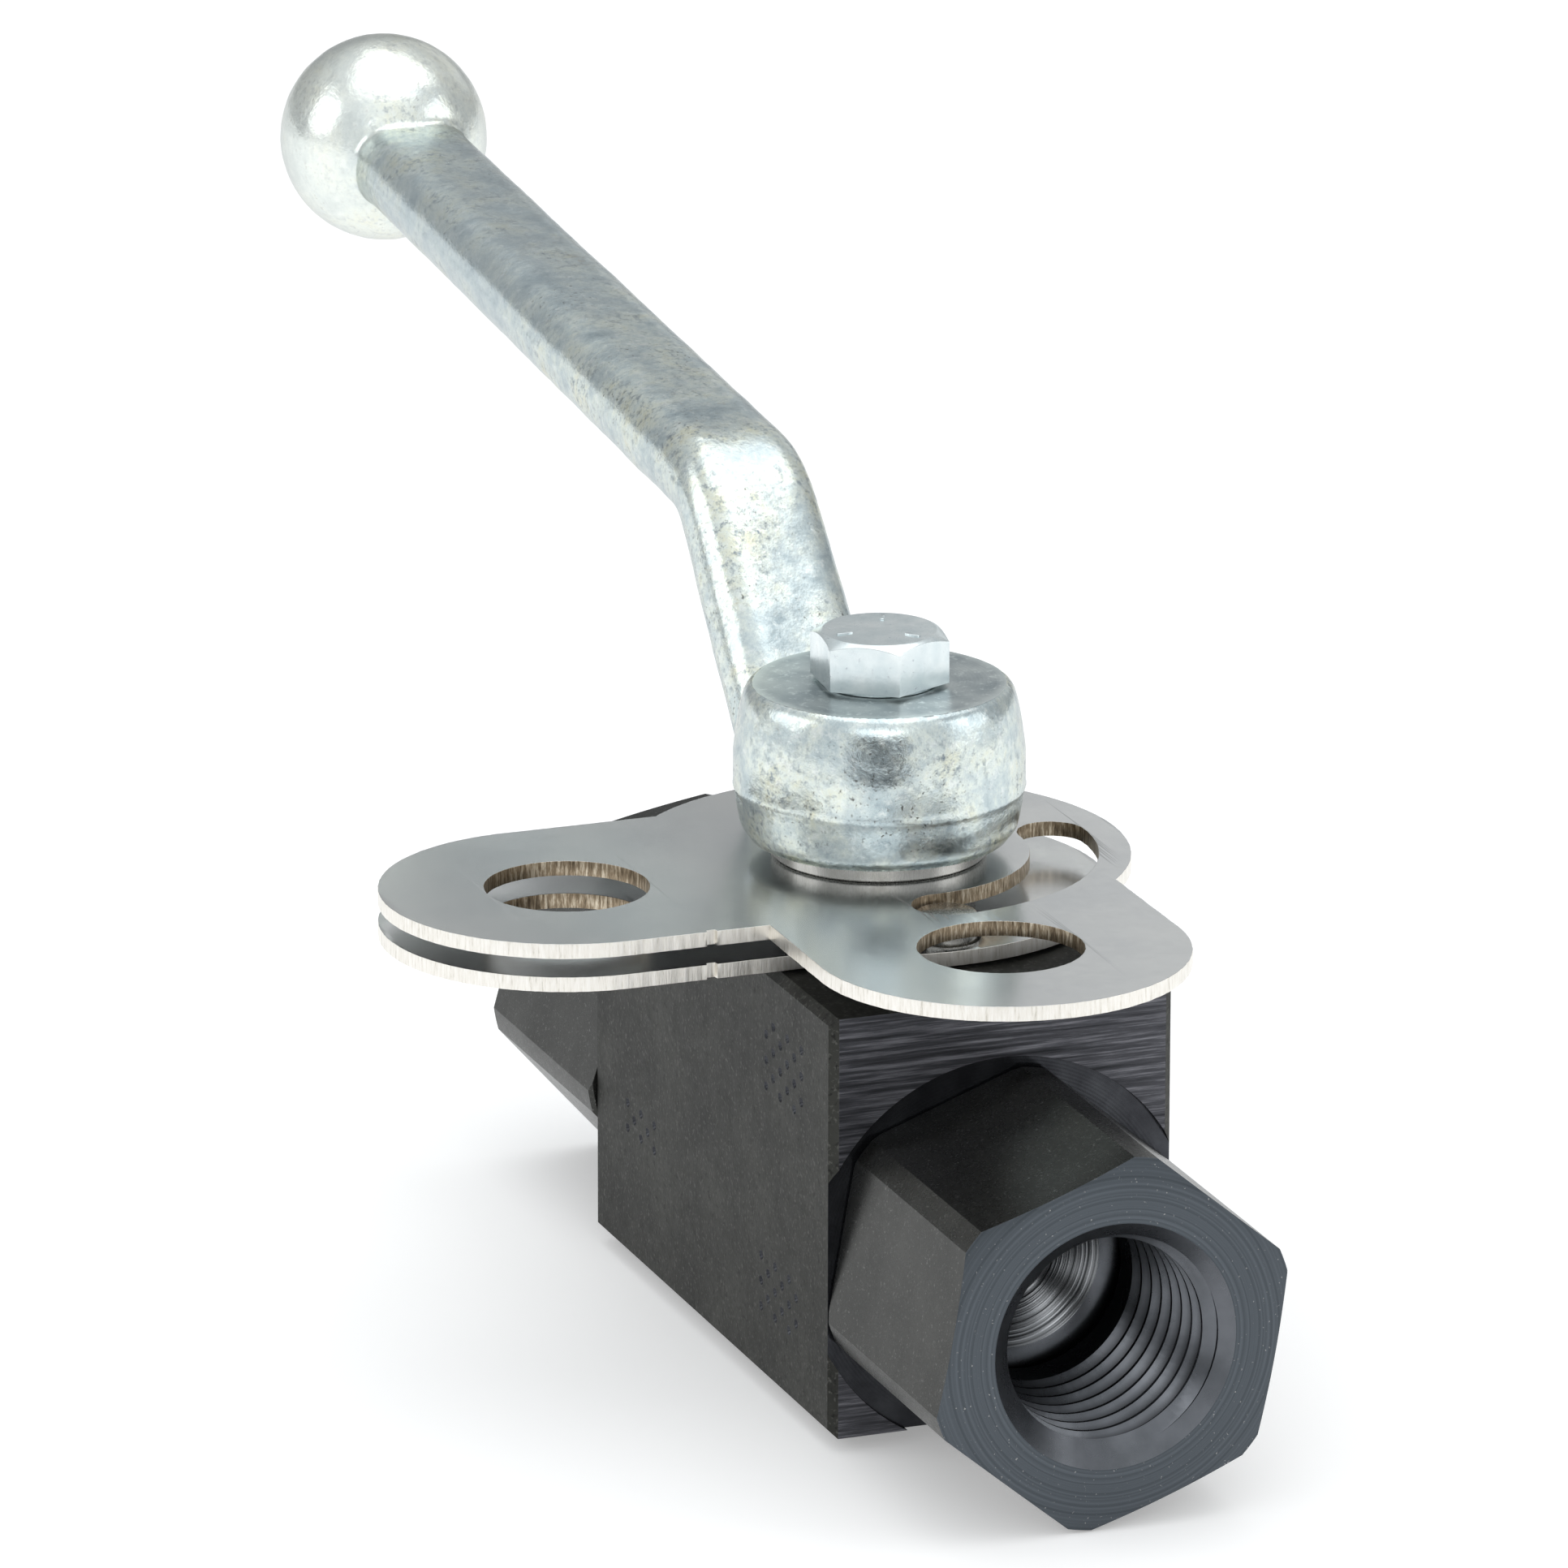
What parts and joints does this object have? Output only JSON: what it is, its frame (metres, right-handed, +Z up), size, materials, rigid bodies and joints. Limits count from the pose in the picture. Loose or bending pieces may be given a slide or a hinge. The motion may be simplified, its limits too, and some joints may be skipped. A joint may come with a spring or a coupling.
{
  "type": "ball valve",
  "caption": "High-pressure block ball valve with hexagon end adapters, padlock plates and a cranked quarter-turn lever with a ball knob.",
  "frame": {"origin": "point of the block's bottom face under the stem axis", "axes": "+X along the flow axis to the front port, +Z up the stem axis; the lever lies towards -X when the valve is open"},
  "size_m": [0.2199, 0.0749, 0.0958],
  "materials": {
    "block": "milled steel, dark grey phosphate",
    "adapter": "turned steel, satin zinc plate",
    "plate": "laser-cut sheet, satin",
    "washer": "turned steel, satin",
    "pin": "ground steel",
    "lever": "forged, bright zinc plate",
    "bolt": "bright zinc plate",
    "stem": "ground steel",
    "ball": "polished hard chrome",
    "seat": "natural acetal",
    "seal": "black nitrile"
  },
  "bodies": {
    "valve_body": {"valve_block": "block", "front_adapter": "adapter", "rear_adapter": "adapter", "front_adapter_o_ring": "seal", "rear_adapter_o_ring": "seal", "front_ball_seat": "seat", "rear_ball_seat": "seat", "front_seat_o_ring": "seal", "rear_seat_o_ring": "seal", "lower_lock_plate": "plate", "stop_pin": "pin"},
    "lever": {"ball": "ball", "stem": "stem", "stem_thrust_washer": "seat", "stem_o_ring_lower": "seal", "stem_o_ring_upper": "seal", "stem_backup_ring": "seat", "plate_spacer": "washer", "upper_lock_plate": "plate", "hub_washer": "washer", "handle": "lever", "handle_bolt": "bolt"}
  },
  "joints": [
    {"name": "stem_turn", "type": "hinge", "parent": "valve_body", "child": "lever", "pos_m": [0, 0, 0.042], "axis": [0, 0, 1], "range_deg": [-90, 0]}
  ]
}
